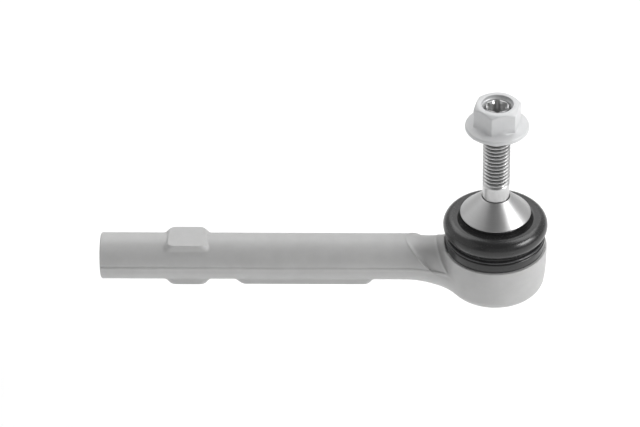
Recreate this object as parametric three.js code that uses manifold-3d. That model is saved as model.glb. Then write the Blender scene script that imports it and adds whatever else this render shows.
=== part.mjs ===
// Outer tie rod end with an angled-seat ball stud and its flange nut.
// Millimetres, +Z up. The origin is the centre of the ball. The stud points along +Z and the
// arm along -X, towards the inner tie rod that screws into its open end.
import * as THREE from 'three';
import { mergeVertices } from 'three/addons/utils/BufferGeometryUtils.js';
import Module from 'manifold-3d';

const wasm = await Module();
wasm.setup();

// ---- driving dimensions, mm ----
const GAP = 0.3; // space left between pieces that touch

const ARM_LENGTH = 167.8; // ball centre to the open end of the arm
const ARM_RADIUS = 10;
const ARM_END_CHAMFER = 0.9;
const NECK_START = 41.3; // distance from the ball centre where the arm starts to blend into the housing
const NECK_END = 19.7;
const NECK_DROP = 2.3; // how far the arm's axis bends down inside the neck
const NECK_SWELL = 0.8; // how much its radius grows there
const NECK_STEPS = 8;

const ARM_BORE_RADIUS = 6.25; // minor diameter of the M14 x 1.5 thread is 12.5
const ARM_BORE_DEPTH = 68;
const ARM_BORE_TIP = 3.6; // length of the drill point behind the bore
const ARM_BORE_MOUTH_RADIUS = 7.3;

const FLAT_WIDTH = 14;
const RAMP_DEPTH = 3.2; // how far a ramp sinks into the round arm
const BOSS_HALF_HEIGHT = 10.3; // the wrench flats are 20.6 across
const BOSS_CENTRE = 131.4; // distance from the ball centre
const BOSS_FLAT_LENGTH = 12.8;
const BOSS_RAMP = 2.8;
const PAD_HALF_HEIGHT = 10; // the flat pad under the arm
const PAD_START = 53.4; // distances from the ball centre
const PAD_END = 107.4;
const PAD_RAMP_NEAR = 2.6;
const PAD_RAMP_FAR = 4.8;

const HOUSING_RADIUS = 22;
const HOUSING_RIM_Z = 6.5; // shoulder that the boot stands on
const HOUSING_BASE_Z = -14.2;
const HOUSING_BASE_RADIUS = 16.2; // flat part of the underside
const HOUSING_CORNER_RADIUS = 19.6; // where the underside's rounding meets the tapered wall
const HOUSING_CORNER_RISE = 2.4;
const HOUSING_TAPER_RISE = 11; // height above the base where the wall becomes straight
const RIM_CHAMFER = 0.4;
const BOOT_SEAT_RADIUS = 22.3; // the boot's seat is turned out of the neck to this radius
const COLLAR_RADIUS = 18.4; // round collar that the boot grips
const COLLAR_TOP_Z = 10.3;
const BOOT_SEAT_HEIGHT = 6;
const SOCKET_RADIUS = 15.6;
const SOCKET_TOP_Z = 8.6;
const MOUTH_RADIUS = 12.2;
const MOUTH_TAPER = 0.6;
const CRIMP_RADIUS = 13.4; // inner edge of the lip rolled under the closing cap
const CRIMP_THICKNESS = 0.8;

const CAP_THICKNESS = 1.5;
const CAP_BULGE = 0.75; // the middle of the cap is pressed out, which leaves room for the ball
const CAP_BULGE_RADIUS = 10;
const PRELOAD_THICKNESS = 1.4;
const PRELOAD_OUTER = 13.5;
const PRELOAD_INNER = 8.8;

const BEARING_GRIP_Z = 6.5; // height where the spherical seat opens into a cone
const BEARING_MOUTH_INSET = 0.8;

const BALL_RADIUS = 12;
const BALL_FLAT_Z = -10.6; // the ball is cut flat underneath
const NECK_RADIUS = 6.2;
const SEAT_RADIUS = 8; // part of the stud that the boot's upper lip grips
const SEAT_START_Z = 16;
const STUD_SHOULDER_Z = 23.2;
const NECK_FLARE = 2; // height over which the neck widens to the seat
const STUD_RADIUS = 5.7; // M12 x 1.75, over the rolled crests
const STUD_END_Z = 78.3;
const STUD_END_CHAMFER = 0.9;

const STAR_OUTER_RADIUS = 4.4; // six-lobe drive socket in the end of the stud
const STAR_INNER_RADIUS = 3.2;
const STAR_DEPTH = 5.5;
const STAR_STEPS = 48;

const CONE_BASE_RADIUS = 14.9;
const CONE_BASE_Z = 24.1;
const CONE_TOP_RADIUS = 6.45;
const CONE_RIM_HEIGHT = 0.6;

const BOOT_LIP_RADIUS = 21.4;
const BOOT_LIP_TOP_Z = 10.7;
const BOOT_GROOVE_RADIUS = 19.7;
const BOOT_GROOVE_TOP_Z = 12.7;
const BOOT_BULGE_RADIUS = 22.1;
const BOOT_BULGE_Z = 17.2;
const BOOT_TOP_RADIUS = 17.6; // the crown of the bulge
const BOOT_TOP_Z = 21.7;
const BOOT_WALL = 1.8;
const BOOT_FOLD_RADIUS = 13.9; // where the bulge turns in to the upper lip
const BOOT_FOLD_Z = 20.1;
const UPPER_LIP_BOTTOM_Z = 18.6;
const UPPER_LIP_TOP_Z = 22.8;
const UPPER_LIP_RADIUS = 11.9;
const UPPER_GROOVE_RADIUS = 11.1; // the upper ring sits in this groove
const UPPER_GROOVE_TOP_Z = 22;

const LOWER_CLAMP_RADIUS = 20.6;
const LOWER_CLAMP_Z = 11.8;
const UPPER_RING_RADIUS = 12;
const UPPER_RING_Z = 21.1;
const WIRE_RADIUS = 0.6;
const WIRE_SEGMENTS = 8;

const NUT_BASE_Z = 67.1;
const NUT_HEIGHT = 12;
const NUT_ACROSS_FLATS = 18;
const NUT_CORNER_ANGLE = 15.5; // degrees from +X to the first corner
const NUT_CHAMFER_RADIUS = 8.6; // the flat top inside the corner chamfer
const NUT_CHAMFER_DROP = 1.6; // at the chamfer's outer end
const NUT_FLANGE_RADIUS = 13.3;
const NUT_FLANGE_HEIGHT = 1.1; // of the flange's upright rim
const NUT_FLANGE_CHAMFER = 0.3;
const NUT_FILLET = 3.4; // hollow rounding from the flange up to the flats
const NUT_FILLET_STEPS = 5;
const NUT_BORE_RADIUS = 6.05;
const NUT_MOUTH_RADIUS = 6.6;

const ROUND_SEGMENTS = 40;
const ARC_STEPS = 4;
const CUT_PAST = 2; // how far a cutting shape reaches past the piece it cuts

// ---- helpers ----

// A round piece about +Z. The path gives radius and height.
function turned(path) {
  return new THREE.LatheGeometry(path.getPoints(ARC_STEPS), ROUND_SEGMENTS).rotateX(Math.PI / 2);
}

// Six times the signed volume under one triangle of an indexed geometry.
function signedVolume(position, index) {
  const a = new THREE.Vector3();
  const b = new THREE.Vector3();
  const c = new THREE.Vector3();
  let volume = 0;
  for (let i = 0; i < index.length; i += 3) {
    a.fromBufferAttribute(position, index[i]);
    b.fromBufferAttribute(position, index[i + 1]);
    c.fromBufferAttribute(position, index[i + 2]);
    volume += a.dot(b.cross(c));
  }
  return volume;
}

// The same shape with shared vertices, no empty triangles, and all faces pointing out.
function closed(geometry) {
  const bare = geometry.clone();
  bare.deleteAttribute('normal');
  bare.deleteAttribute('uv');
  const merged = mergeVertices(bare, 1e-4);
  const old = Array.from(merged.index.array);
  const kept = [];
  for (let i = 0; i < old.length; i += 3) {
    const [a, b, c] = old.slice(i, i + 3);
    if (a !== b && b !== c && c !== a) {
      kept.push(a, b, c);
    }
  }
  if (signedVolume(merged.getAttribute('position'), kept) < 0) {
    kept.reverse();
  }
  merged.setIndex(kept);
  return merged;
}

function toSolid(geometry) {
  const shape = closed(geometry);
  const mesh = new wasm.Mesh({
    numProp: 3,
    vertProperties: Float32Array.from(shape.getAttribute('position').array),
    triVerts: Uint32Array.from(shape.index.array),
  });
  return new wasm.Manifold(mesh);
}

function toGeometry(solid) {
  const mesh = solid.getMesh();
  const geometry = new THREE.BufferGeometry();
  geometry.setAttribute('position', new THREE.BufferAttribute(mesh.vertProperties, 3));
  geometry.setIndex(new THREE.BufferAttribute(mesh.triVerts, 1));
  return geometry;
}

function piece(name, geometry, colour, roughness, metalness) {
  const shape = closed(geometry);
  shape.computeVertexNormals();
  const material = new THREE.MeshStandardMaterial({ color: colour, roughness, metalness });
  const mesh = new THREE.Mesh(shape, material);
  mesh.name = name;
  return mesh;
}

// ---- housing and arm: one forging ----

// The arm is turned about +X, then its axis is bent down where it meets the housing.
function armBar() {
  const path = new THREE.Path();
  path.moveTo(0, -ARM_LENGTH);
  path.lineTo(ARM_RADIUS - ARM_END_CHAMFER, -ARM_LENGTH);
  path.lineTo(ARM_RADIUS, -ARM_LENGTH + ARM_END_CHAMFER);
  for (let i = 0; i <= NECK_STEPS; i += 1) {
    const distance = THREE.MathUtils.lerp(NECK_START, NECK_END, i / NECK_STEPS);
    path.lineTo(ARM_RADIUS + NECK_SWELL * neckBlend(distance), -distance);
  }
  path.lineTo(0, -NECK_END + NECK_SWELL);
  const bar = new THREE.LatheGeometry(path.getPoints(), ROUND_SEGMENTS).rotateZ(-Math.PI / 2);
  const position = bar.getAttribute('position');
  for (let i = 0; i < position.count; i += 1) {
    position.setZ(i, position.getZ(i) - NECK_DROP * neckBlend(-position.getX(i)));
  }
  return bar;
}

function neckBlend(distance) {
  return 1 - THREE.MathUtils.smoothstep(distance, NECK_END, NECK_START);
}

// The raised flat on one side of the arm: side is +1 for the top and -1 for the underside.
function raisedFlat(start, end, nearRamp, farRamp, height, side) {
  const outline = new THREE.Shape();
  outline.moveTo(-start, side * height);
  outline.lineTo(-end, side * height);
  outline.lineTo(-end - farRamp, side * (height - RAMP_DEPTH));
  outline.lineTo(-end - farRamp, 0);
  outline.lineTo(-start + nearRamp, 0);
  outline.lineTo(-start + nearRamp, side * (height - RAMP_DEPTH));
  const block = new THREE.ExtrudeGeometry(outline, { depth: FLAT_WIDTH, bevelEnabled: false });
  return block.rotateX(Math.PI / 2).translate(0, FLAT_WIDTH / 2, 0);
}

function housingBody() {
  const cornerZ = HOUSING_BASE_Z + HOUSING_CORNER_RISE;
  const path = new THREE.Path();
  path.moveTo(0, HOUSING_BASE_Z);
  path.lineTo(HOUSING_BASE_RADIUS, HOUSING_BASE_Z);
  path.quadraticCurveTo(HOUSING_CORNER_RADIUS - 0.6, HOUSING_BASE_Z, HOUSING_CORNER_RADIUS, cornerZ);
  path.lineTo(HOUSING_RADIUS, HOUSING_BASE_Z + HOUSING_TAPER_RISE);
  path.lineTo(HOUSING_RADIUS, HOUSING_RIM_Z - RIM_CHAMFER);
  path.lineTo(HOUSING_RADIUS - RIM_CHAMFER, HOUSING_RIM_Z);
  path.lineTo(COLLAR_RADIUS, HOUSING_RIM_Z);
  path.lineTo(COLLAR_RADIUS, COLLAR_TOP_Z);
  path.lineTo(0, COLLAR_TOP_Z);
  return turned(path);
}

// The ring of space around the collar, where the boot's lower lip sits.
function bootSeat() {
  const top = HOUSING_RIM_Z + BOOT_SEAT_HEIGHT;
  const path = new THREE.Path();
  path.moveTo(COLLAR_RADIUS, HOUSING_RIM_Z);
  path.lineTo(BOOT_SEAT_RADIUS, HOUSING_RIM_Z);
  path.lineTo(BOOT_SEAT_RADIUS, top);
  path.lineTo(COLLAR_RADIUS, top);
  path.lineTo(COLLAR_RADIUS, HOUSING_RIM_Z);
  return turned(path);
}

function socketSpace() {
  const lipTop = HOUSING_BASE_Z + CRIMP_THICKNESS;
  const path = new THREE.Path();
  path.moveTo(0, HOUSING_BASE_Z - CUT_PAST);
  path.lineTo(CRIMP_RADIUS, HOUSING_BASE_Z - CUT_PAST);
  path.lineTo(CRIMP_RADIUS, lipTop);
  path.lineTo(SOCKET_RADIUS, lipTop);
  path.lineTo(SOCKET_RADIUS, SOCKET_TOP_Z);
  path.lineTo(MOUTH_RADIUS - MOUTH_TAPER, SOCKET_TOP_Z);
  path.lineTo(MOUTH_RADIUS, COLLAR_TOP_Z);
  path.lineTo(MOUTH_RADIUS, COLLAR_TOP_Z + CUT_PAST);
  path.lineTo(0, COLLAR_TOP_Z + CUT_PAST);
  return turned(path);
}

function armBore() {
  const flare = ARM_BORE_MOUTH_RADIUS - ARM_BORE_RADIUS;
  const path = new THREE.Path();
  path.moveTo(0, -ARM_LENGTH - CUT_PAST);
  path.lineTo(ARM_BORE_MOUTH_RADIUS, -ARM_LENGTH - CUT_PAST);
  path.lineTo(ARM_BORE_MOUTH_RADIUS, -ARM_LENGTH);
  path.lineTo(ARM_BORE_RADIUS, -ARM_LENGTH + flare);
  path.lineTo(ARM_BORE_RADIUS, -ARM_LENGTH + ARM_BORE_DEPTH);
  path.lineTo(0, -ARM_LENGTH + ARM_BORE_DEPTH + ARM_BORE_TIP);
  return new THREE.LatheGeometry(path.getPoints(), ROUND_SEGMENTS).rotateZ(-Math.PI / 2);
}

function housingArm() {
  const bossStart = BOSS_CENTRE - BOSS_FLAT_LENGTH / 2;
  const bossEnd = BOSS_CENTRE + BOSS_FLAT_LENGTH / 2;
  const forging = toSolid(housingBody())
    .add(toSolid(armBar()))
    .add(toSolid(raisedFlat(bossStart, bossEnd, BOSS_RAMP, BOSS_RAMP, BOSS_HALF_HEIGHT, 1)))
    .add(toSolid(raisedFlat(bossStart, bossEnd, BOSS_RAMP, BOSS_RAMP, BOSS_HALF_HEIGHT, -1)))
    .add(toSolid(raisedFlat(PAD_START, PAD_END, PAD_RAMP_NEAR, PAD_RAMP_FAR, PAD_HALF_HEIGHT, -1)));
  const machined = forging
    .subtract(toSolid(bootSeat()))
    .subtract(toSolid(socketSpace()))
    .subtract(toSolid(armBore()));
  return piece('housing_arm', toGeometry(machined), 0xb4b4b3, 0.5, 0.75);
}

// ---- pieces sealed inside the socket ----

function closingCap() {
  const bottom = HOUSING_BASE_Z + CRIMP_THICKNESS + GAP;
  const top = bottom + CAP_THICKNESS;
  const edge = SOCKET_RADIUS - GAP;
  const slope = CAP_BULGE * 1.5;
  const path = new THREE.Path();
  path.moveTo(0, bottom - CAP_BULGE);
  path.lineTo(CAP_BULGE_RADIUS, bottom - CAP_BULGE);
  path.lineTo(CAP_BULGE_RADIUS + slope, bottom);
  path.lineTo(edge, bottom);
  path.lineTo(edge, top);
  path.lineTo(CAP_BULGE_RADIUS + slope, top);
  path.lineTo(CAP_BULGE_RADIUS, top - CAP_BULGE);
  path.lineTo(0, top - CAP_BULGE);
  return piece('closing_cap', turned(path), 0x9a9c9e, 0.4, 0.9);
}

function preloadRing() {
  const bottom = HOUSING_BASE_Z + CRIMP_THICKNESS + CAP_THICKNESS + 2 * GAP;
  const top = bottom + PRELOAD_THICKNESS;
  const path = new THREE.Path();
  path.moveTo(PRELOAD_INNER, bottom);
  path.lineTo(PRELOAD_OUTER, bottom);
  path.lineTo(PRELOAD_OUTER, top);
  path.lineTo(PRELOAD_INNER, top);
  path.lineTo(PRELOAD_INNER, bottom);
  return piece('preload_ring', turned(path), 0x2b2b2d, 0.8, 0);
}

function bearingShell() {
  const bottom = HOUSING_BASE_Z + CRIMP_THICKNESS + CAP_THICKNESS + PRELOAD_THICKNESS + 3 * GAP;
  const top = SOCKET_TOP_Z - GAP;
  const outer = SOCKET_RADIUS - GAP;
  const inner = BALL_RADIUS + GAP;
  const grip = Math.asin(BEARING_GRIP_Z / inner);
  const path = new THREE.Path();
  path.moveTo(Math.sqrt(inner ** 2 - bottom ** 2), bottom);
  path.lineTo(outer, bottom);
  path.lineTo(outer, top);
  path.lineTo(inner - BEARING_MOUTH_INSET, top);
  path.absarc(0, 0, inner, grip, Math.asin(bottom / inner), true);
  return piece('bearing_shell', turned(path), 0xd8d4c6, 0.5, 0);
}

// ---- ball stud and its pressed-on cone ----

function studBlank() {
  const flatAngle = Math.asin(BALL_FLAT_Z / BALL_RADIUS);
  const neckAngle = Math.acos(NECK_RADIUS / BALL_RADIUS);
  const path = new THREE.Path();
  path.moveTo(0, BALL_FLAT_Z);
  path.lineTo(Math.sqrt(BALL_RADIUS ** 2 - BALL_FLAT_Z ** 2), BALL_FLAT_Z);
  path.absarc(0, 0, BALL_RADIUS, flatAngle, neckAngle, false);
  path.lineTo(NECK_RADIUS, SEAT_START_Z - NECK_FLARE);
  path.quadraticCurveTo(NECK_RADIUS, SEAT_START_Z - NECK_FLARE / 3, SEAT_RADIUS, SEAT_START_Z);
  path.lineTo(SEAT_RADIUS, STUD_SHOULDER_Z);
  path.lineTo(STUD_RADIUS, STUD_SHOULDER_Z);
  path.lineTo(STUD_RADIUS, STUD_END_Z - STUD_END_CHAMFER);
  path.lineTo(STUD_RADIUS - STUD_END_CHAMFER, STUD_END_Z);
  path.lineTo(0, STUD_END_Z);
  return turned(path);
}

// Six smooth lobes, one of them pointing along +Y.
function starSocket() {
  const middle = (STAR_OUTER_RADIUS + STAR_INNER_RADIUS) / 2;
  const swing = (STAR_OUTER_RADIUS - STAR_INNER_RADIUS) / 2;
  const points = [];
  for (let i = 0; i < STAR_STEPS; i += 1) {
    const angle = (2 * Math.PI * i) / STAR_STEPS;
    const radius = middle - swing * Math.cos(6 * angle);
    points.push(new THREE.Vector2(radius * Math.cos(angle), radius * Math.sin(angle)));
  }
  const outline = new THREE.Shape(points);
  const depth = STAR_DEPTH + CUT_PAST;
  const tool = new THREE.ExtrudeGeometry(outline, { depth, bevelEnabled: false });
  return tool.translate(0, 0, STUD_END_Z - STAR_DEPTH);
}

function ballStud() {
  const machined = toSolid(studBlank()).subtract(toSolid(starSocket()));
  return piece('ball_stud', toGeometry(machined), 0xa2a3a3, 0.4, 0.9);
}

function coneCollar() {
  const bottom = STUD_SHOULDER_Z + GAP;
  const top = CONE_BASE_Z + CONE_BASE_RADIUS - CONE_TOP_RADIUS; // the cone's side is at 45 degrees
  const bore = STUD_RADIUS + GAP;
  const bevel = CONE_RIM_HEIGHT / 2;
  const path = new THREE.Path();
  path.moveTo(bore, bottom);
  path.lineTo(CONE_BASE_RADIUS - bevel, bottom);
  path.lineTo(CONE_BASE_RADIUS, CONE_BASE_Z - bevel);
  path.lineTo(CONE_BASE_RADIUS, CONE_BASE_Z);
  path.lineTo(CONE_TOP_RADIUS, top);
  path.lineTo(bore, top);
  path.lineTo(bore, bottom);
  return piece('cone_collar', turned(path), 0xc2c2c1, 0.25, 1);
}

// ---- dust boot and its two rings ----

// The boot's section: up the outside over the bulge to the upper lip, and back down the inside.
function dustBoot() {
  const lipBottom = HOUSING_RIM_Z + GAP;
  const lipInner = COLLAR_RADIUS + GAP;
  const seat = SEAT_RADIUS + GAP;
  const innerBulge = BOOT_BULGE_RADIUS - BOOT_WALL;
  const innerTop = BOOT_TOP_Z - BOOT_WALL;
  const path = new THREE.Path();
  path.moveTo(lipInner, lipBottom);
  path.lineTo(BOOT_LIP_RADIUS, lipBottom);
  path.lineTo(BOOT_LIP_RADIUS, BOOT_LIP_TOP_Z);
  path.lineTo(BOOT_GROOVE_RADIUS, BOOT_LIP_TOP_Z + 0.2);
  path.lineTo(BOOT_GROOVE_RADIUS, BOOT_GROOVE_TOP_Z);
  path.quadraticCurveTo(BOOT_BULGE_RADIUS, BOOT_GROOVE_TOP_Z, BOOT_BULGE_RADIUS, BOOT_BULGE_Z);
  path.quadraticCurveTo(BOOT_BULGE_RADIUS, BOOT_TOP_Z, BOOT_TOP_RADIUS, BOOT_TOP_Z);
  path.quadraticCurveTo(BOOT_FOLD_RADIUS + 1, BOOT_TOP_Z, BOOT_FOLD_RADIUS, BOOT_FOLD_Z);
  path.lineTo(UPPER_GROOVE_RADIUS, BOOT_FOLD_Z);
  path.lineTo(UPPER_GROOVE_RADIUS, UPPER_GROOVE_TOP_Z);
  path.lineTo(UPPER_LIP_RADIUS, UPPER_GROOVE_TOP_Z + 0.2);
  path.lineTo(UPPER_LIP_RADIUS, UPPER_LIP_TOP_Z);
  path.lineTo(seat, UPPER_LIP_TOP_Z);
  path.lineTo(seat, UPPER_LIP_BOTTOM_Z);
  path.lineTo(BOOT_FOLD_RADIUS, UPPER_LIP_BOTTOM_Z);
  path.quadraticCurveTo(BOOT_FOLD_RADIUS + 1, innerTop, BOOT_TOP_RADIUS, innerTop);
  path.quadraticCurveTo(innerBulge, innerTop, innerBulge, BOOT_BULGE_Z);
  path.quadraticCurveTo(innerBulge, BOOT_GROOVE_TOP_Z + 1, lipInner, BOOT_GROOVE_TOP_Z - 0.5);
  path.lineTo(lipInner, lipBottom);
  return piece('dust_boot', turned(path), 0x242425, 0.45, 0);
}

function wireRing(name, radius, height) {
  const ring = new THREE.TorusGeometry(radius, WIRE_RADIUS, WIRE_SEGMENTS, ROUND_SEGMENTS);
  return piece(name, ring.translate(0, 0, height), 0x3a3a3c, 0.4, 0.8);
}

// ---- flange nut ----

function nutHexagon() {
  const corner = NUT_ACROSS_FLATS / 2 / Math.cos(Math.PI / 6);
  const top = NUT_BASE_Z + NUT_HEIGHT;
  const prism = new THREE.CylinderGeometry(corner, corner, NUT_HEIGHT, 6)
    .rotateX(Math.PI / 2)
    .rotateZ(THREE.MathUtils.degToRad(NUT_CORNER_ANGLE + 30))
    .translate(0, 0, NUT_BASE_Z + NUT_HEIGHT / 2);
  const envelope = new THREE.Path();
  envelope.moveTo(0, NUT_BASE_Z - CUT_PAST);
  envelope.lineTo(corner + 1, NUT_BASE_Z - CUT_PAST);
  envelope.lineTo(corner + 1, top - NUT_CHAMFER_DROP);
  envelope.lineTo(NUT_CHAMFER_RADIUS, top);
  envelope.lineTo(0, top);
  return toSolid(prism).intersect(toSolid(turned(envelope)));
}

// The flange's rim, then the hollow rounding that runs up to the flats.
function nutFlange() {
  const rimTop = NUT_BASE_Z + NUT_FLANGE_HEIGHT;
  const filletRadius = NUT_ACROSS_FLATS / 2 - 0.2 + NUT_FILLET;
  const filletZ = rimTop + NUT_FILLET;
  const path = new THREE.Path();
  path.moveTo(0, NUT_BASE_Z);
  path.lineTo(NUT_FLANGE_RADIUS - NUT_FLANGE_CHAMFER, NUT_BASE_Z);
  path.lineTo(NUT_FLANGE_RADIUS, NUT_BASE_Z + NUT_FLANGE_CHAMFER);
  path.lineTo(NUT_FLANGE_RADIUS, rimTop - NUT_FLANGE_CHAMFER);
  for (let i = 0; i <= NUT_FILLET_STEPS; i += 1) {
    const angle = (Math.PI / 2) * (i / NUT_FILLET_STEPS);
    path.lineTo(filletRadius - NUT_FILLET * Math.sin(angle), filletZ - NUT_FILLET * Math.cos(angle));
  }
  path.lineTo(0, filletZ);
  return toSolid(turned(path));
}

function nutBore() {
  const flare = NUT_MOUTH_RADIUS - NUT_BORE_RADIUS;
  const top = NUT_BASE_Z + NUT_HEIGHT;
  const path = new THREE.Path();
  path.moveTo(0, NUT_BASE_Z - CUT_PAST);
  path.lineTo(NUT_MOUTH_RADIUS, NUT_BASE_Z - CUT_PAST);
  path.lineTo(NUT_MOUTH_RADIUS, NUT_BASE_Z);
  path.lineTo(NUT_BORE_RADIUS, NUT_BASE_Z + flare);
  path.lineTo(NUT_BORE_RADIUS, top - flare);
  path.lineTo(NUT_MOUTH_RADIUS, top);
  path.lineTo(NUT_MOUTH_RADIUS, top + CUT_PAST);
  path.lineTo(0, top + CUT_PAST);
  return turned(path);
}

function flangeNut() {
  const machined = nutHexagon().add(nutFlange()).subtract(toSolid(nutBore()));
  return piece('flange_nut', toGeometry(machined), 0xc6c7c8, 0.35, 0.9);
}

// ---- assembly ----

const group = new THREE.Group();
group.add(housingArm(), closingCap(), preloadRing(), bearingShell());
group.add(ballStud(), coneCollar(), flangeNut());
group.add(dustBoot());
group.add(wireRing('boot_lower_clamp', LOWER_CLAMP_RADIUS, LOWER_CLAMP_Z));
group.add(wireRing('boot_upper_ring', UPPER_RING_RADIUS, UPPER_RING_Z));

export default group;
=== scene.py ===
"""Looks for the tie rod end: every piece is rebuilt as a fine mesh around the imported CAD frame.

Outlines are written in millimetres, about the ball's centre, and scaled to metres when a mesh is made.
"""

import math

import bpy
import numpy as np
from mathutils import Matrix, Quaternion, Vector


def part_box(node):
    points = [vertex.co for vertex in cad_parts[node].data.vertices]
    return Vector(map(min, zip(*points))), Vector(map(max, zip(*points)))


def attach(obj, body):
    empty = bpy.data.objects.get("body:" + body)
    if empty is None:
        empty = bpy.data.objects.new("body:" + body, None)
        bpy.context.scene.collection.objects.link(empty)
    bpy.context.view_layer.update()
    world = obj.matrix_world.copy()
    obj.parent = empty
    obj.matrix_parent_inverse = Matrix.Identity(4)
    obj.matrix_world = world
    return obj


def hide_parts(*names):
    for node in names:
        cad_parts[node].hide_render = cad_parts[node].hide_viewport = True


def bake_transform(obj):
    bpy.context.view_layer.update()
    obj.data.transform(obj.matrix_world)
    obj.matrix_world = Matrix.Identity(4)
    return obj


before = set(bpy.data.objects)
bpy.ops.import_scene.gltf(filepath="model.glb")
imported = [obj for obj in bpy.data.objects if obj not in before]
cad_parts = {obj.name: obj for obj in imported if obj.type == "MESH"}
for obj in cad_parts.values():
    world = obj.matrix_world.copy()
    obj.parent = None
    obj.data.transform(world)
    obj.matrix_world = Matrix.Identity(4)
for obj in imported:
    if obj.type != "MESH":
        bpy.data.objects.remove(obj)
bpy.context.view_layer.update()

MM = 0.001
TURN = 2 * math.pi


# ---------------------------------------------------------------- sizes from the frame, mm


def low(node, axis):
    """A CAD node's lowest coordinate, in millimetres."""
    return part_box(node)[0][axis] / MM


def high(node, axis):
    """A CAD node's highest coordinate, in millimetres."""
    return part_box(node)[1][axis] / MM


ARM_END = low("housing_arm", 0) - 0.5
HOUSING_BASE = low("housing_arm", 2)
HOUSING_RADIUS = high("housing_arm", 0)
COLLAR_TOP = 10.3
RIM = 7.0
COLLAR_RADIUS = 18.4
BOOT_SEAT_RADIUS = 21.4
SOCKET_RADIUS = 15.6
SOCKET_TOP = 8.6
MOUTH_RADIUS = 12.2
CRIMP_RADIUS = 13.4
LIP_TOP = HOUSING_BASE + 0.8
CAP_THICKNESS = 1.5
CAP_BULGE = 0.75

ARM_RADIUS = 9.92
ARM_END_CHAMFER = 0.5
SEAM_HEIGHT = 1.2
BOSS_CENTRE = -131.3
BOSS_HEIGHT = 10.3
PAD_NEAR = -53.2
PAD_FAR = -109.0
PAD_DEPTH = 10.0

NECK_START = -38
NECK_END = -19.7
NECK_DROP = 2.2
NECK_SWELL = 1.4

ARM_BORE_RADIUS = 7.15
ARM_BORE_DEPTH = 62
ARM_DRILL_RADIUS = 6.25
ARM_DRILL_DEPTH = 68
ARM_THREAD_PITCH = 1.5

STUD_RADIUS = 5.7
STAR_OUTER = 4.5
STAR_INNER = 3.25
STUD_END = high("ball_stud", 2)
STUD_NECK_RADIUS = 6.2
STUD_SEAT_RADIUS = 8.0
BALL_RADIUS = high("ball_stud", 0)
THREAD_PITCH = 1.75
THREAD_START = 38.4
THREAD_END = STUD_END - 2.2
THREAD_DEPTH = 1.05

CONE_RADIUS = high("cone_collar", 0)
CONE_BOTTOM = low("cone_collar", 2)
CONE_TOP = high("cone_collar", 2)

NUT_BASE = low("flange_nut", 2)
NUT_TOP = high("flange_nut", 2)
NUT_FLANGE_RADIUS = high("flange_nut", 0)
NUT_HALF_FLATS = 9.0
NUT_CORNER_ANGLE = math.radians(15.5)


# ---------------------------------------------------------------- shape helpers


def smooth_step(start, end, value):
    """0 before start, 1 after end, and an S-curve between."""
    t = np.clip((value - start) / (end - start), 0, 1)
    return t * t * (3 - 2 * t)


def smooth_min(a, b, k):
    """The union of two distances, with a fillet about k wide."""
    h = np.clip(0.5 + 0.5 * (b - a) / k, 0, 1)
    return b * (1 - h) + a * h - k * h * (1 - h)


def smooth_max(a, b, k):
    """The intersection of two distances, with its edge eased about k wide."""
    return -smooth_min(-a, -b, k)


def round_max(a, b, radius):
    """The intersection of two distances, with a circular edge."""
    outer = np.hypot(np.maximum(a + radius, 0), np.maximum(b + radius, 0))
    return np.minimum(np.maximum(a, b) + radius, 0) + outer - radius


def gradient(distance, points, step=0.02):
    """The slope of a distance function at points."""
    slopes = []
    for axis in range(3):
        move = np.zeros(3)
        move[axis] = step
        ahead = distance(*(points + move).T)
        behind = distance(*(points - move).T)
        slopes.append((ahead - behind) / (2 * step))
    return np.array(slopes).T


def make_object(name, points, faces, normals=None, sharp_degrees=None):
    """A mesh object from points in millimetres."""
    mesh = bpy.data.meshes.new(name)
    mesh.from_pydata((np.asarray(points) * MM).tolist(), [], faces)
    mesh.validate()
    mesh.shade_smooth()
    if sharp_degrees is not None:
        mesh.set_sharp_from_angle(angle=math.radians(sharp_degrees))
    if normals is not None:
        mesh.normals_split_custom_set_from_vertices(normals.tolist())
    obj = bpy.data.objects.new(name, mesh)
    bpy.context.scene.collection.objects.link(obj)
    return obj


def crossing_points(grid, cells):
    """For each cell, the mean of the points where its twelve edges cross the surface."""
    total = np.zeros(cells.shape)
    number = np.zeros(len(cells))
    corners = [np.array([i >> 2 & 1, i >> 1 & 1, i & 1]) for i in range(8)]
    for a in corners:
        for axis in range(3):
            if a[axis]:
                continue
            b = a.copy()
            b[axis] = 1
            value_a = grid[tuple((cells + a).T)]
            value_b = grid[tuple((cells + b).T)]
            cross = (value_a < 0) != (value_b < 0)
            share = np.where(cross, value_a / np.where(cross, value_a - value_b, 1), 0)
            total += cross[:, None] * (a + share[:, None] * (b - a))
            number += cross
    return total / number[:, None]


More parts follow.
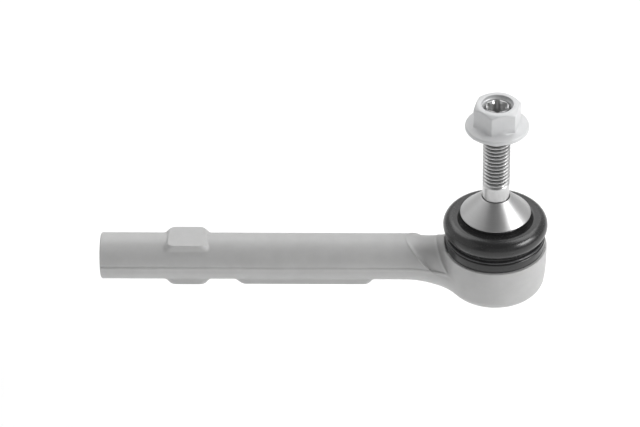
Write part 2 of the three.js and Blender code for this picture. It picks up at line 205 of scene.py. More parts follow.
def surface_net(name, distance, lowest, highest, cell):
    """Turns a distance function into a smooth closed quad mesh, and settles its vertices on the surface."""
    lowest = np.array(lowest, float)
    axes = [np.arange(lo, hi + cell, cell) for lo, hi in zip(lowest, highest)]
    grid = distance(*np.meshgrid(*axes, indexing="ij", sparse=True))
    inside = grid < 0
    size = np.array(grid.shape) - 1
    count = np.zeros(size, int)
    for i in (0, 1):
        for j in (0, 1):
            for k in (0, 1):
                count += inside[i : size[0] + i, j : size[1] + j, k : size[2] + k]
    active = (count > 0) & (count < 8)
    cells = np.argwhere(active)
    index = np.full(size, -1)
    index[active] = np.arange(len(cells))
    points = lowest + cell * (cells + crossing_points(grid, cells))
    for _ in range(4):
        slope = gradient(distance, points)
        error = distance(*points.T) / np.maximum((slope**2).sum(1), 1e-6)
        points -= np.clip(error, -cell / 2, cell / 2)[:, None] * slope
    slope = gradient(distance, points)
    normals = slope / np.linalg.norm(slope, axis=1)[:, None]
    faces = []
    for axis in range(3):
        u = np.eye(3, dtype=int)[(axis + 1) % 3]
        v = np.eye(3, dtype=int)[(axis + 2) % 3]
        start = inside[tuple(slice(0, -1) if i == axis else slice(None) for i in range(3))]
        end = inside[tuple(slice(1, None) if i == axis else slice(None) for i in range(3))]
        edges = np.argwhere(start != end)
        leaving = start[tuple(edges.T)]
        ring = [edges, edges - u, edges - u - v, edges - v]
        quads = np.array([index[tuple(corner.T)] for corner in ring]).T
        quads[~leaving] = quads[~leaving][:, ::-1]
        faces += quads.tolist()
    return make_object(name, points, faces, normals)


def arc(centre, radius, start, end, steps=8):
    """Points on an arc of a lathe outline. Angles are in degrees from the outward direction."""
    angles = np.radians(np.linspace(start, end, steps + 1))
    return [(centre[0] + radius * math.cos(a), centre[1] + radius * math.sin(a)) for a in angles]


def curve(*controls, steps=10):
    """Points on a Bezier curve through its first and last control points."""
    levels = [np.array(controls, float)[:, None, :] * np.ones((1, steps + 1, 1))]
    t = np.linspace(0, 1, steps + 1)[None, :, None]
    while len(levels[-1]) > 1:
        last = levels[-1]
        levels.append(last[:-1] * (1 - t) + last[1:] * t)
    return [tuple(p) for p in levels[-1][0]]


def ring_quads(here, above, segments):
    """The quads between two rings of points, each given by the number of its first point."""
    quads = []
    for i in range(segments):
        j = (i + 1) % segments
        quads.append((here + i, here + j, above + j, above + i))
    return quads


def pole_fans(first_pole, last_pole, last_ring, segments):
    """The triangles that close the first and the last ring at two points on the axis."""
    triangles = []
    for i in range(segments):
        j = (i + 1) % segments
        triangles.append((first_pole, j, i))
        triangles.append((last_pole, last_ring + i, last_ring + j))
    return triangles


def lathe(name, outline, segments=160, sharp_degrees=32):
    """Turns an outline of (radius, height) about +Z. It closes on itself, or starts and ends on the axis."""
    on_axis = outline[0][0] == 0
    angles = np.arange(segments) * TURN / segments
    rings = outline[1:-1] if on_axis else outline
    points = [(r * math.cos(a), r * math.sin(a), z) for r, z in rings for a in angles]
    faces = []
    rows = len(rings) - 1 if on_axis else len(rings)
    for row in range(rows):
        faces += ring_quads(row * segments, (row + 1) % len(rings) * segments, segments)
    if on_axis:
        points += [(0, 0, outline[0][1]), (0, 0, outline[-1][1])]
        faces += pole_fans(len(points) - 2, len(points) - 1, (len(rings) - 1) * segments, segments)
    return make_object(name, points, faces, sharp_degrees=sharp_degrees)


def lathe_from_rows(name, rows):
    """A closed piece from rings of points: rows hold (radii, heights) around the axis, from pole to pole."""
    segments = len(rows[0][0])
    angles = np.arange(segments) * TURN / segments
    points = []
    for radii, heights in rows:
        points.append(np.stack([radii * np.cos(angles), radii * np.sin(angles), heights], 1))
    points = np.concatenate(points).tolist()
    faces = []
    for row in range(len(rows) - 1):
        faces += ring_quads(row * segments, (row + 1) * segments, segments)
    points += [(0, 0, rows[0][1].mean()), (0, 0, rows[-1][1].mean())]
    faces += pole_fans(len(points) - 2, len(points) - 1, (len(rows) - 1) * segments, segments)
    return make_object(name, points, faces, sharp_degrees=30)


def thread_depth(turns, flat_crest, flat_root):
    """How far below its crest a straight-flanked thread is, from 0 to 1, at a position in turns."""
    t = np.abs((turns % 1.0) - 0.5) * 2
    return np.clip((t - flat_crest) / (1 - flat_crest - flat_root), 0, 1)


# ---------------------------------------------------------------- materials


def new_material(name):
    """A new node material, with its tree and its shader."""
    material = bpy.data.materials.new(name)
    material.use_nodes = True
    tree = material.node_tree
    return material, tree, tree.nodes["Principled BSDF"]


def grey(value):
    """A neutral colour."""
    return (value, value, value)


def texture_place(tree, scale=(1, 1, 1)):
    """Coordinates in millimetres in the piece's own frame."""
    place = tree.nodes.new("ShaderNodeTexCoord")
    mapping = tree.nodes.new("ShaderNodeMapping")
    mapping.inputs["Scale"].default_value = tuple(s / MM for s in scale)
    tree.links.new(place.outputs["Object"], mapping.inputs["Vector"])
    return mapping.outputs["Vector"]


def noise(tree, place, per_mm, detail=3.0):
    """A noise texture with that many features in a millimetre."""
    node = tree.nodes.new("ShaderNodeTexNoise")
    node.inputs["Scale"].default_value = per_mm
    node.inputs["Detail"].default_value = detail
    node.inputs["Roughness"].default_value = 0.6
    tree.links.new(place, node.inputs["Vector"])
    return node.outputs["Fac"]


def spread(tree, value, low_value, high_value, start=0.3, end=0.7):
    """Maps a texture onto a range of numbers."""
    node = tree.nodes.new("ShaderNodeMapRange")
    node.inputs["From Min"].default_value = start
    node.inputs["From Max"].default_value = end
    node.inputs["To Min"].default_value = low_value
    node.inputs["To Max"].default_value = high_value
    tree.links.new(value, node.inputs["Value"])
    return node.outputs["Result"]


def two_colours(tree, value, dark, light, start=0.3, end=0.7):
    """Maps a texture onto two colours."""
    node = tree.nodes.new("ShaderNodeValToRGB")
    node.color_ramp.elements[0].position = start
    node.color_ramp.elements[1].position = end
    node.color_ramp.elements[0].color = (*dark, 1)
    node.color_ramp.elements[1].color = (*light, 1)
    tree.links.new(value, node.inputs["Fac"])
    return node.outputs["Color"]


def bump(tree, shader, height, millimetres):
    """Adds relief of that many millimetres to the shader."""
    node = tree.nodes.new("ShaderNodeBump")
    node.inputs["Distance"].default_value = millimetres * MM
    node.inputs["Strength"].default_value = 1.0
    tree.links.new(height, node.inputs["Height"])
    tree.links.new(node.outputs["Normal"], shader.inputs["Normal"])


def metal(name, dark, light, grain_per_mm, grain_mm, rough_low, rough_high, metallic=1.0):
    """A metal with blotches of tone, a fine grain and uneven gloss."""
    material, tree, shader = new_material(name)
    place = texture_place(tree)
    blotches = noise(tree, place, 0.16, detail=4)
    grain = noise(tree, place, grain_per_mm, detail=2)
    tree.links.new(two_colours(tree, blotches, dark, light), shader.inputs["Base Color"])
    tree.links.new(spread(tree, grain, rough_low, rough_high), shader.inputs["Roughness"])
    shader.inputs["Metallic"].default_value = metallic
    bump(tree, shader, grain, grain_mm)
    return material


def forged_aluminium():
    """Pale, matte forging skin."""
    return metal(
        "forged_aluminium",
        dark=(0.452, 0.452, 0.45),
        light=(0.487, 0.487, 0.485),
        grain_per_mm=2.2,
        grain_mm=0.025,
        rough_low=0.46,
        rough_high=0.58,
        metallic=0.12,
    )


def stud_steel():
    """Bright steel on the ball and shank, with shade painted into the roots of the exposed thread."""
    material, tree, shader = new_material("stud_steel")
    place = texture_place(tree)
    blotches = noise(tree, place, 0.3, detail=4)
    grain = noise(tree, place, 3.0, detail=2)
    bright = two_colours(tree, blotches, grey(0.56), grey(0.62))
    flat = tree.nodes.new("ShaderNodeVectorMath")
    flat.operation = "MULTIPLY"
    flat.inputs[1].default_value = (1, 1, 0)
    tree.links.new(place, flat.inputs[0])
    radius = tree.nodes.new("ShaderNodeVectorMath")
    radius.operation = "LENGTH"
    tree.links.new(flat.outputs["Vector"], radius.inputs[0])
    # Painted shade: the thread is darkest in its roots and lighter towards its crests.
    root_radius, crest_radius = 4.7, 5.75
    towards_crest = spread(tree, radius.outputs["Value"], 0, 1, root_radius, crest_radius)
    shaded_roots = two_colours(tree, towards_crest, grey(0.14), grey(0.58), 0, 1)
    split = tree.nodes.new("ShaderNodeSeparateXYZ")
    tree.links.new(place, split.inputs["Vector"])
    starting = spread(tree, split.outputs["Z"], 0, 1, THREAD_START, THREAD_START + 3)
    ending = spread(tree, split.outputs["Z"], 1, 0, NUT_BASE, NUT_BASE + 3)
    on_thread = tree.nodes.new("ShaderNodeMath")
    on_thread.operation = "MULTIPLY"
    tree.links.new(starting, on_thread.inputs[0])
    tree.links.new(ending, on_thread.inputs[1])
    mix = tree.nodes.new("ShaderNodeMix")
    mix.data_type = "RGBA"
    tree.links.new(on_thread.outputs["Value"], mix.inputs["Factor"])
    tree.links.new(bright, mix.inputs["A"])
    tree.links.new(shaded_roots, mix.inputs["B"])
    tree.links.new(mix.outputs["Result"], shader.inputs["Base Color"])
    tree.links.new(spread(tree, grain, 0.28, 0.38), shader.inputs["Roughness"])
    shader.inputs["Metallic"].default_value = 1.0
    bump(tree, shader, grain, 0.006)
    return material


def nut_zinc():
    """Pale zinc plating, a little cooler in tone than the forging."""
    return metal(
        "nut_zinc",
        dark=(0.575, 0.58, 0.585),
        light=(0.625, 0.63, 0.635),
        grain_per_mm=2.5,
        grain_mm=0.01,
        rough_low=0.4,
        rough_high=0.5,
        metallic=0.15,
    )


def cap_steel():
    """Grey steel, also used for the thread inside the arm."""
    return metal(
        "cap_steel",
        dark=(0.42, 0.43, 0.44),
        light=(0.5, 0.51, 0.52),
        grain_per_mm=1.6,
        grain_mm=0.015,
        rough_low=0.3,
        rough_high=0.45,
    )


def wire_steel():
    """Dark steel wire."""
    return metal(
        "wire_steel",
        dark=(0.07, 0.07, 0.072),
        light=(0.10, 0.10, 0.102),
        grain_per_mm=4.0,
        grain_mm=0.005,
        rough_low=0.24,
        rough_high=0.34,
        metallic=0.8,
    )


def turned_steel():
    """Bright steel with fine turning rings, which smear its reflections along the slope."""
    material, tree, shader = new_material("turned_steel")
    place = texture_place(tree, (0.02, 0.02, 1))
    rings = noise(tree, place, 7.0, detail=2)
    tone = two_colours(tree, rings, grey(0.48), grey(0.52))
    tree.links.new(tone, shader.inputs["Base Color"])
    tree.links.new(spread(tree, rings, 0.4, 0.44), shader.inputs["Roughness"])
    shader.inputs["Metallic"].default_value = 1.0
    shader.inputs["Anisotropic"].default_value = 0.3
    shader.inputs["Anisotropic Rotation"].default_value = 0.25
    tangent = tree.nodes.new("ShaderNodeTangent")
    tangent.direction_type = "RADIAL"
    tangent.axis = "Z"
    tree.links.new(tangent.outputs["Tangent"], shader.inputs["Tangent"])
    bump(tree, shader, rings, 0.0008)
    return material


def boot_rubber():
    """Moulded black rubber: slightly dusty, with a soft sheen."""
    material, tree, shader = new_material("boot_rubber")
    place = texture_place(tree)
    dust = noise(tree, place, 0.25, detail=5)
    skin = noise(tree, place, 0.9, detail=2)
    tone = two_colours(tree, dust, (0.005, 0.005, 0.0053), (0.010, 0.010, 0.0104))
    tree.links.new(tone, shader.inputs["Base Color"])
    tree.links.new(spread(tree, skin, 0.22, 0.28), shader.inputs["Roughness"])
    shader.inputs["Specular IOR Level"].default_value = 0.55
    # A faint glow of its own is painted light, which keeps the deepest shadow from pure black.
    shader.inputs["Emission Color"].default_value = (1, 1, 1, 1)
    shader.inputs["Emission Strength"].default_value = 0.009
    bump(tree, shader, skin, 0.003)
    return material


def bearing_plastic():
    """Off-white acetal with faint flow marks."""
    material, tree, shader = new_material("bearing_plastic")
    place = texture_place(tree, (1, 1, 3))
    flow = noise(tree, place, 0.3, detail=3)
    tone = two_colours(tree, flow, (0.66, 0.63, 0.55), (0.74, 0.71, 0.63))
    tree.links.new(tone, shader.inputs["Base Color"])
    tree.links.new(spread(tree, flow, 0.4, 0.55), shader.inputs["Roughness"])
    bump(tree, shader, flow, 0.02)
    return material


def ring_rubber():
    """Matte elastomer of the preload ring."""
    material, tree, shader = new_material("ring_rubber")
    place = texture_place(tree)
    grain = noise(tree, place, 2.0)
    tone = two_colours(tree, grain, (0.02, 0.02, 0.022), (0.04, 0.04, 0.042))
    tree.links.new(tone, shader.inputs["Base Color"])
    tree.links.new(spread(tree, grain, 0.6, 0.8), shader.inputs["Roughness"])
    bump(tree, shader, grain, 0.02)
    return material


def finish_piece(obj, material, body, slot, *nodes):
    """Gives a rigid piece its material and its body, and hides the CAD nodes that it stands for. Its slot is
    not used.
    """
    obj.data.materials.append(material)
    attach(obj, body)
    if nodes:
        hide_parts(*nodes)


# ---------------------------------------------------------------- the forging


def ramped_flat(x, y, z, near, far, near_ramp, far_ramp, height):
    """A block across the arm with a flat above and below, and a ramp at each end."""
    half_width = 7
    rise = 3.2
    near_plane = ((x - near) * rise + (np.abs(z) - height) * near_ramp) / math.hypot(rise, near_ramp)
    far_plane = ((far - x) * rise + (np.abs(z) - height) * far_ramp) / math.hypot(rise, far_ramp)
    plan = round_max(np.abs(y) - half_width, np.maximum(near_plane, far_plane), 2.4)
    return smooth_max(plan, np.abs(z) - height, 0.3)


def neck_flute(x, z):
    """Depth of the hollow in each flank of the neck, with a raised crease along each of its sides."""
    left = -25.4 - 1.2 * z
    right = -19.4 - 0.51 * z
    across = np.clip((x - left) / np.maximum(right - left, 0.1), 0, 1)
    hollow = 2.3 * across**0.65 * (1 - across) ** 1.7
    width = 0.7
    crease = 0.75 * np.exp(-(((x - left) / width) ** 2)) + 0.4 * np.exp(-(((x - right) / width) ** 2))
    fade_in = smooth_step(-1.2, 3.2, z)
    fade_out = 1 - 0.62 * smooth_step(5, 8.6, z)
    return (hollow - crease) * fade_in * fade_out


def arm_shape(x, y, z):
    """The round arm with its neck, flutes, parting line, wrench flats and underside pad."""
    blend = smooth_step(NECK_START, NECK_END, x)
    centre = -NECK_DROP * blend
    radial = np.hypot(y, z - centre)
    radius = ARM_RADIUS + NECK_SWELL * blend**3
    arm = radial - radius + neck_flute(x, z - centre)
    boss = ramped_flat(x, y, z, BOSS_CENTRE + 8.0, BOSS_CENTRE - 7.8, 2.8, 2.8, BOSS_HEIGHT)
    pad = np.maximum(ramped_flat(x, y, z, PAD_NEAR, PAD_FAR, 2.8, 3.4, PAD_DEPTH), z)
    arm = smooth_min(smooth_min(arm, boss, 0.5), pad, 0.5)
    # The parting line is a low ridge with a fine groove above it, which deepens towards the open end.
    seam = z - 0.6 * centre - SEAM_HEIGHT
    ridge = smooth_max(radial - radius - 0.22, np.abs(seam + 0.95) - 0.65, 0.4)
    arm = smooth_min(arm, ridge, 0.35)
    groove_depth = 0.12 * (1 - blend) + 0.18 * smooth_step(-118, -150, x)
    groove = np.hypot(radial - radius - 0.12, seam - 0.05) - groove_depth
    arm = smooth_max(arm, -groove, 0.3)
    arm = np.maximum(arm, (radial - ARM_RADIUS + ARM_END_CHAMFER + ARM_END - x) * 0.7)
    arm = np.maximum(arm, ARM_END - x)
    # The arm stops inside the housing.
    return np.maximum(arm, x + 12)


def housing_shape(radius, z):
    """The barrel of the housing, which narrows towards its base, and the collar that the boot grips."""
    taper, taper_start, softness = 0.075, -4, 4
    base_rounding = 5.1
    below = taper_start - z
    wall = HOUSING_RADIUS + 0.1 - taper * (below + np.hypot(below, softness))
    barrel = round_max(radius - wall, HOUSING_BASE - z, base_rounding)
    barrel = round_max(barrel, z - RIM, 0.3)
    collar = round_max(radius - COLLAR_RADIUS, z - COLLAR_TOP, 0.4)
    return np.minimum(barrel, np.maximum(collar, -z))


def forging(x, y, z):
    """Distance to the machined forging."""
    radius = np.hypot(x, y)
    # The fillet between the arm and the housing grows from 1.2 mm at the top to 4 mm below.
    fillet = 1.2 + 2.8 * smooth_step(3, -6, z)
    raw = smooth_min(arm_shape(x, y, z), housing_shape(radius, z), fillet)
    # Machining clears the boot's seat, the ball socket and its openings, and then the bore of the arm.
    seat = np.maximum(np.maximum(COLLAR_RADIUS - radius, radius - BOOT_SEAT_RADIUS), RIM - z)
    above_collar = np.maximum(radius - BOOT_SEAT_RADIUS, COLLAR_TOP - z)
    mouth = MOUTH_RADIUS - 0.6 + 0.6 * (z - SOCKET_TOP) / (COLLAR_TOP - SOCKET_TOP)
    socket = np.maximum(radius - SOCKET_RADIUS, np.maximum(LIP_TOP - z, z - SOCKET_TOP))
    openings = np.maximum(radius - np.where(z > 0, mouth, CRIMP_RADIUS), -20 - z)
    from_axis = np.hypot(y, z)
    inward = x - ARM_END
    bore = np.maximum(from_axis - ARM_BORE_RADIUS, inward - ARM_BORE_DEPTH)
    drill_tip = np.maximum(from_axis - 0.5, 0) * 0.6
    drilled = np.maximum(from_axis - ARM_DRILL_RADIUS, inward - ARM_DRILL_DEPTH + drill_tip)
    mouth_cone = np.maximum(from_axis - 7.9 + inward, inward - 3)
    cut = np.minimum(np.minimum(seat, above_collar), np.minimum(socket, openings))
    cut = np.minimum(cut, np.minimum(np.minimum(bore, drilled), mouth_cone))
    return smooth_max(raw, -cut, 0.25)


def make_forging():
    """The forging with its machined openings, as one closed mesh."""
    cell = 0.42
    margin = 3 * cell
    lowest = (ARM_END - margin, -HOUSING_RADIUS - margin, HOUSING_BASE - margin)
    highest = (HOUSING_RADIUS + margin, HOUSING_RADIUS + margin, COLLAR_TOP + 1 + margin)
    obj = surface_net("forged_housing", forging, lowest, highest, cell)
    finish_piece(obj, forged_aluminium(), "housing", "forging", "housing_arm")


# ---------------------------------------------------------------- pieces in the socket


def make_cap():
    """The pressed cap under the ball, with its middle bulged outwards."""
    bottom = LIP_TOP + 0.3
    top = bottom + CAP_THICKNESS
    edge = SOCKET_RADIUS - 0.3
    outline = [(0, bottom - CAP_BULGE)]
    outline += curve((9.4, bottom - CAP_BULGE), (10.4, bottom - CAP_BULGE), (10.4, bottom), (11.4, bottom))
    outline += arc((edge - 0.3, bottom + 0.3), 0.3, -90, 0, 4)
    outline += arc((edge - 0.3, top - 0.3), 0.3, 0, 90, 4)
    outline += curve((11.6, top), (10.6, top), (10.6, top - CAP_BULGE), (9.6, top - CAP_BULGE))
    outline += [(0, top - CAP_BULGE)]
    obj = lathe("pressed_cap", outline)
    finish_piece(obj, cap_steel(), "housing", "cap_steel", "closing_cap")


def make_preload_ring():
    """The elastic ring between the cap and the bearing, round at both edges."""
    bottom, top = low("preload_ring", 2), high("preload_ring", 2)
    middle, radius = (bottom + top) / 2, (top - bottom) / 2
    outline = arc((13.5 - radius, middle), radius, -90, 90) + arc((8.8 + radius, middle), radius, 90, 270)
    obj = lathe("preload_rubber", outline)
    finish_piece(obj, ring_rubber(), "housing", "spring_rubber", "preload_ring")


def make_bearing():
    """The plastic cup that holds the ball."""
    bottom, top = low("bearing_shell", 2), high("bearing_shell", 2)
    inner, outer = BALL_RADIUS + 0.25, SOCKET_RADIUS - 0.3
    grip = math.degrees(math.asin(6.5 / inner))
    floor = math.degrees(math.asin(bottom / inner))
    outline = [(outer - 0.5, bottom), (outer, bottom + 0.5), (outer, top - 0.4), (outer - 0.4, top)]
    outline += [(11.6, top)]
    outline += arc((0, 0), inner, grip, floor, 24)
    obj = lathe("bearing_cup", outline)
    finish_piece(obj, bearing_plastic(), "swing", "bearing_plastic", "bearing_shell")


# ---------------------------------------------------------------- ball stud


def star_radius(angles, outer, inner):
    """A six-lobe drive outline with a lobe along +Y."""
    middle, swing = (outer + inner) / 2, (outer - inner) / 2
    wave = -np.cos(6 * angles)
    return middle + swing * np.sign(wave) * np.abs(wave) ** 0.8


def make_stud():
    """The ball, neck, seat and threaded shank, with the six-lobe drive in its end."""
    segments = 144
    rows_per_turn = 14
    angles = np.arange(segments) * TURN / segments
    even = np.ones(segments)
    neck_top = math.degrees(math.acos(STUD_NECK_RADIUS / BALL_RADIUS))
    ball_flat = low("ball_stud", 2)
    bottom = math.degrees(math.asin(ball_flat / BALL_RADIUS))
    outline = [(2.0, ball_flat)] + arc((0, 0), BALL_RADIUS, bottom, neck_top - 6, 36)
    neck, seat = STUD_NECK_RADIUS, STUD_SEAT_RADIUS
    outline += curve(outline[-1], (neck, 9.6), (neck, 11.5), steps=6)
    outline += curve((neck, 13.6), (neck, 15.6), (seat, 16.0)) + [(seat, 22.9), (7.7, 23.2), (6.0, 23.2)]
    shank = STUD_RADIUS - 0.04
    outline += [(shank, 23.4), (shank, CONE_TOP - 1), (shank, CONE_TOP + 3), (shank, THREAD_START - 0.6)]
    rows = [(even * r, even * z) for r, z in outline]
    steps = int((THREAD_END - THREAD_START) / THREAD_PITCH * rows_per_turn)
    for z in np.linspace(THREAD_START, THREAD_END, steps):
        run_out = smooth_step(THREAD_START, THREAD_START + 1.3 * THREAD_PITCH, z)
        depth = thread_depth(z / THREAD_PITCH - angles / TURN, 0.18, 0.14)
        rows.append((STUD_RADIUS - THREAD_DEPTH * run_out * depth, even * z))
    end = STUD_END - 0.4
    outer, inner = STAR_OUTER, STAR_INNER
    rows += [(even * r, even * (end - depth)) for r, depth in ((4.85, 1.2), (4.75, 0.2), (4.65, 0))]
    rows += [(star_radius(angles, outer + 0.08, inner + 0.9), even * (end - 0.05))]
    rows += [(star_radius(angles, outer, inner), even * (end - 0.9))]
    wall = star_radius(angles, outer - 0.05, inner - 0.05)
    rows += [(wall, even * (end - depth)) for depth in (1.8, 3.2, 4.6)]
    rows += [(wall * 0.9, even * (end - 4.8))]
    rows += [(star_radius(angles, outer, inner) * 0.3, even * (end - 5.4))]
    obj = lathe_from_rows("stud_with_thread", rows)
    finish_piece(obj, stud_steel(), "stud", "stud_steel", "ball_stud")


def make_cone():
    """The turned cone on the shank."""
    bore = STUD_RADIUS + 0.22
    outline = [(bore, CONE_BOTTOM + 0.3), (bore + 0.3, CONE_BOTTOM), (CONE_RADIUS - 0.5, CONE_BOTTOM)]
    outline += arc((CONE_RADIUS - 0.45, CONE_BOTTOM + 0.45), 0.45, -60, 45, 6)
    outline += [(10.6, CONE_TOP - 4.3), (6.65, CONE_TOP - 0.35)]
    outline += [(6.4, CONE_TOP - 0.15), (6.2, CONE_TOP), (bore + 0.12, CONE_TOP), (bore, CONE_TOP - 0.12)]
    obj = lathe("turned_cone", outline, segments=192)
    finish_piece(obj, turned_steel(), "stud", "turned_steel", "cone_collar")


# ---------------------------------------------------------------- boot and its rings


def boot_outline():
    """The boot's section: lower lip, groove, bulge, and the upper lip tucked under the cone."""
    bulge, outside, inside = (17.65, 17.45), 4.45, 2.65
    outline = [(18.7, 7.25), (20.75, 7.25)]
    outline += arc((20.75, 7.65), 0.4, -90, 0, 4)
    outline += arc((20.65, 10.7), 0.5, 0, 90, 5)
    outline += curve((20.4, 11.25), (20.0, 11.3), (20.0, 12.0), (20.0, 12.9), (20.2, 13.5), steps=10)
    outline += arc(bulge, outside, -52, 86, 36)
    outline += curve(outline[-1], (16.9, 21.95), (16.1, 21.8), (15.3, 21.35), steps=10)
    outline += curve(outline[-1], (14.7, 21.0), (14.1, 20.85), (13.3, 20.85), steps=6)
    outline += [(12.8, 20.7), (12.6, 20.45), (11.4, 20.35), (11.1, 20.6)]
    outline += [(11.1, 21.8), (11.3, 22.0), (11.8, 22.05)]
    outline += [(11.9, 22.2), (11.9, 22.6), (11.7, 22.8), (8.3, 22.8)]
    outline += [(8.3, 18.9), (8.6, 18.6), (13.4, 18.7)]
    outline += curve((13.4, 18.7), (15.0, 18.8), (16.0, 19.9), (17.8, 20.1), steps=8)
    outline += arc(bulge, inside, 86, -50, 14)
    outline += curve((19.2, 15.2), (18.8, 14.4), (18.7, 12.6), steps=6)
    return outline


def make_boot():
    """The rubber boot, turned from its section as one piece."""
    obj = lathe("rubber_boot", boot_outline(), segments=192, sharp_degrees=60)
    obj.data.materials.append(boot_rubber())
    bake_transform(obj)
    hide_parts("dust_boot")


def make_wire(name, radius, height, wire, body, node):
    """A ring of round wire about +Z."""
    obj = lathe(name, arc((radius, height), wire, 0, 360 - 22.5, 15), segments=160)
    finish_piece(obj, wire_steel(), body, "clamp_steel", node)


# ---------------------------------------------------------------- flange nut


def nut_shape(x, y, z):
    """Distance to the flange nut."""
    radius = np.hypot(x, y)
    angle = np.arctan2(y, x)
    up = z - NUT_BASE
    corner_edge = 0.45
    hexagon = None
    for side in range(6):
        facing = NUT_CORNER_ANGLE + math.radians(30 + 60 * side)
        plane = x * math.cos(facing) + y * math.sin(facing) - NUT_HALF_FLATS
        hexagon = plane if side == 0 else smooth_max(hexagon, plane, corner_edge)
    slope, chamfer_radius = math.radians(34), 8.4
    chamfer = (z - NUT_TOP) * math.cos(slope) + (radius - chamfer_radius) * math.sin(slope)
    head = smooth_max(smooth_max(hexagon, chamfer, 0.5), z - NUT_TOP, 0.35)
    fillet, fillet_radius, fillet_height = 3.95, 12.8, 5.1
    hollow = fillet - np.hypot(radius - fillet_radius, up - fillet_height)
    rising = np.maximum(np.maximum(radius - fillet_radius, up - fillet_height), hollow)
    flange_edge, flange_slope = 1.7, 0.22
    flange_top = up - flange_edge - flange_slope * (NUT_FLANGE_RADIUS - radius)
    disc = round_max(radius - NUT_FLANGE_RADIUS, flange_top, 0.6)
    flange = smooth_min(disc, rising, 0.3)
    body = smooth_min(head, flange, 0.3)
    body = smooth_max(body, -up, 0.4)
    depth = thread_depth(z / THREAD_PITCH - angle / TURN, 0.14, 0.18)
    bore_radius, groove = 5.85, 0.7
    bore = radius - bore_radius - groove * (1 - depth)
    mouth = 6.65
    top_mouth = smooth_max(radius - mouth, NUT_TOP - 1.3 - z - 1.2 * (mouth - radius), 0.2)
    base_mouth = radius - 6.9 + up
    return smooth_max(body, -np.minimum(bore, np.minimum(top_mouth, base_mouth)), 0.2)


def make_nut():
    """The flange nut with its thread, as one closed mesh."""
    cell = 0.22
    reach = NUT_FLANGE_RADIUS + 3 * cell
    lowest = (-reach, -reach, NUT_BASE - 3 * cell)
    highest = (reach, reach, NUT_TOP + 3 * cell)
    obj = surface_net("hex_flange_nut", nut_shape, lowest, highest, cell)
    finish_piece(obj, nut_zinc(), "nut", "nut_zinc", "flange_nut")


# ---------------------------------------------------------------- thread in the arm


def make_arm_thread():
    """A sleeve with the M14 x 1.5 thread inside, which lines the bore of the arm."""
    segments = 96
    rows_per_turn = 10
    outside = 7.3
    angles = np.arange(segments) * TURN / segments
    start, end = ARM_END + 0.9, ARM_END + 61.5
    rows = [(np.full(segments, outside), np.full(segments, start))]
    for along in np.arange(start + 0.1, end, ARM_THREAD_PITCH / rows_per_turn):
        depth = thread_depth(along / ARM_THREAD_PITCH - angles / TURN, 0.2, 0.15)
        rows.append((ARM_DRILL_RADIUS + 0.8 * (1 - depth), np.full(segments, along)))
    rows.append((np.full(segments, outside), np.full(segments, end)))
    points = [np.stack([h, r * np.cos(angles), r * np.sin(angles)], 1) for r, h in rows]
    faces = []
    for row in range(len(rows)):
        faces += ring_quads((row + 1) % len(rows) * segments, row * segments, segments)
    obj = make_object("arm_thread", np.concatenate(points), faces, sharp_degrees=35)
    finish_piece(obj, cap_steel(), "housing", "forging")


# ---------------------------------------------------------------- studio


def make_camera():
    """The camera looks along +Y and down, with a small roll that keeps the arm level in the picture."""
    elevation = math.radians(36.45)
    azimuth = math.radians(2.4)
    roll = math.radians(1.25)
    distance = 1.355
    target = Vector((-0.0742, 0, 0.0226))
    level = Vector((math.sin(azimuth), -math.cos(azimuth), 0))
    back = level * math.cos(elevation) + Vector((0, 0, math.sin(elevation)))
    data = bpy.data.cameras.new("camera")
    data.lens = 180
    data.sensor_width = 36
    camera = bpy.data.objects.new("camera", data)
    camera.location = target + back * distance
    turn = back.to_track_quat("Z", "Y") @ Quaternion((0, 0, 1), -roll)
    camera.rotation_euler = turn.to_euler()
    bpy.context.scene.collection.objects.link(camera)
    bpy.context.scene.camera = camera


def make_light(name, place, width, height, power):
    """A soft rectangular light that faces the middle of the part."""
    middle = Vector((-0.04, 0, 0.02))
    data = bpy.data.lights.new(name, "AREA")
    data.shape = "RECTANGLE"
    data.size = width
    data.size_y = height
    data.energy = power
    light = bpy.data.objects.new(name, data)
    light.location = place
    light.rotation_euler = (Vector(place) - middle).to_track_quat("Z", "Y").to_euler()
    bpy.context.scene.collection.objects.link(light)


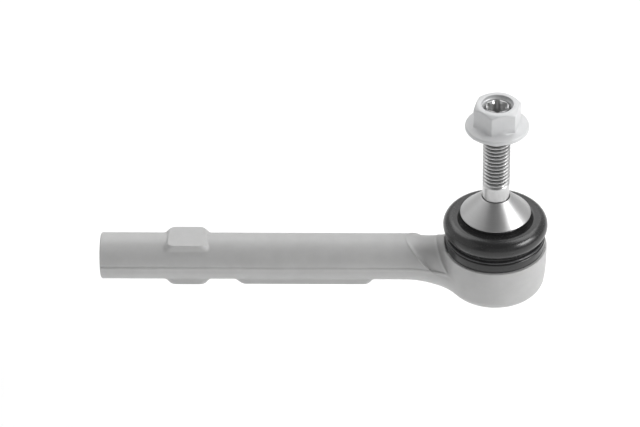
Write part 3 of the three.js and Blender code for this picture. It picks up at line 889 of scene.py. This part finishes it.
def make_floor():
    """A wide pale floor below the part, with a little light of its own."""
    half = 4.0
    level = -0.12
    mesh = bpy.data.meshes.new("floor")
    corners = [(-half, -half, level), (half, -half, level), (half, half, level), (-half, half, level)]
    mesh.from_pydata(corners, [], [(0, 1, 2, 3)])
    floor = bpy.data.objects.new("floor", mesh)
    bpy.context.scene.collection.objects.link(floor)
    material, tree, shader = new_material("pale_floor")
    shader.inputs["Base Color"].default_value = (0.9, 0.9, 0.9, 1)
    shader.inputs["Roughness"].default_value = 0.9
    shader.inputs["Emission Color"].default_value = (1, 1, 1, 1)
    shader.inputs["Emission Strength"].default_value = 0.17
    mesh.materials.append(material)


def make_world():
    """A white room that is dark only where the camera stands, above the front."""
    world = bpy.data.worlds.new("studio")
    world.use_nodes = True
    tree = world.node_tree
    background = tree.nodes["Background"]
    place = tree.nodes.new("ShaderNodeTexCoord")
    towards_dark = tree.nodes.new("ShaderNodeVectorMath")
    towards_dark.operation = "DOT_PRODUCT"
    towards_dark.inputs[1].default_value = (0, -0.62, 0.78)
    tree.links.new(place.outputs["Generated"], towards_dark.inputs[0])
    brightness = spread(tree, towards_dark.outputs["Value"], 0.75, 0.12, -0.7, 0.9)
    tree.links.new(brightness, background.inputs["Strength"])
    background.inputs["Color"].default_value = (1, 1, 1, 1)
    bpy.context.scene.world = world


make_camera()
make_floor()
make_world()
make_light("key_right", (1.0, -0.3, 0.58), 0.8, 0.6, 3.6)
make_light("streak_right", (0.97, -0.3, 0.72), 0.6, 0.34, 5.8)
make_light("wall_left", (-1.25, -0.1, 0.75), 2.4, 1.7, 4.8)
make_light("high_right", (0.6, 0.45, 1.2), 0.9, 0.7, 6)
make_light("high_left", (-0.6, 0.7, 1.2), 0.9, 0.7, 4)
make_light("back", (-0.05, 1.2, 0.95), 1.8, 0.7, 4)
make_light("front_fill", (0.25, -1.25, 0.4), 1.6, 1.0, 1.2)
bpy.context.scene.view_settings.view_transform = "Standard"

make_forging()
make_arm_thread()
make_cap()
make_preload_ring()
make_bearing()
make_stud()
make_cone()
make_boot()
make_wire("lower_wire", radius=20.4, height=11.85, wire=0.5, body="housing", node="boot_lower_clamp")
make_wire("upper_wire", radius=11.95, height=21.1, wire=0.58, body="lean", node="boot_upper_ring")
make_nut()
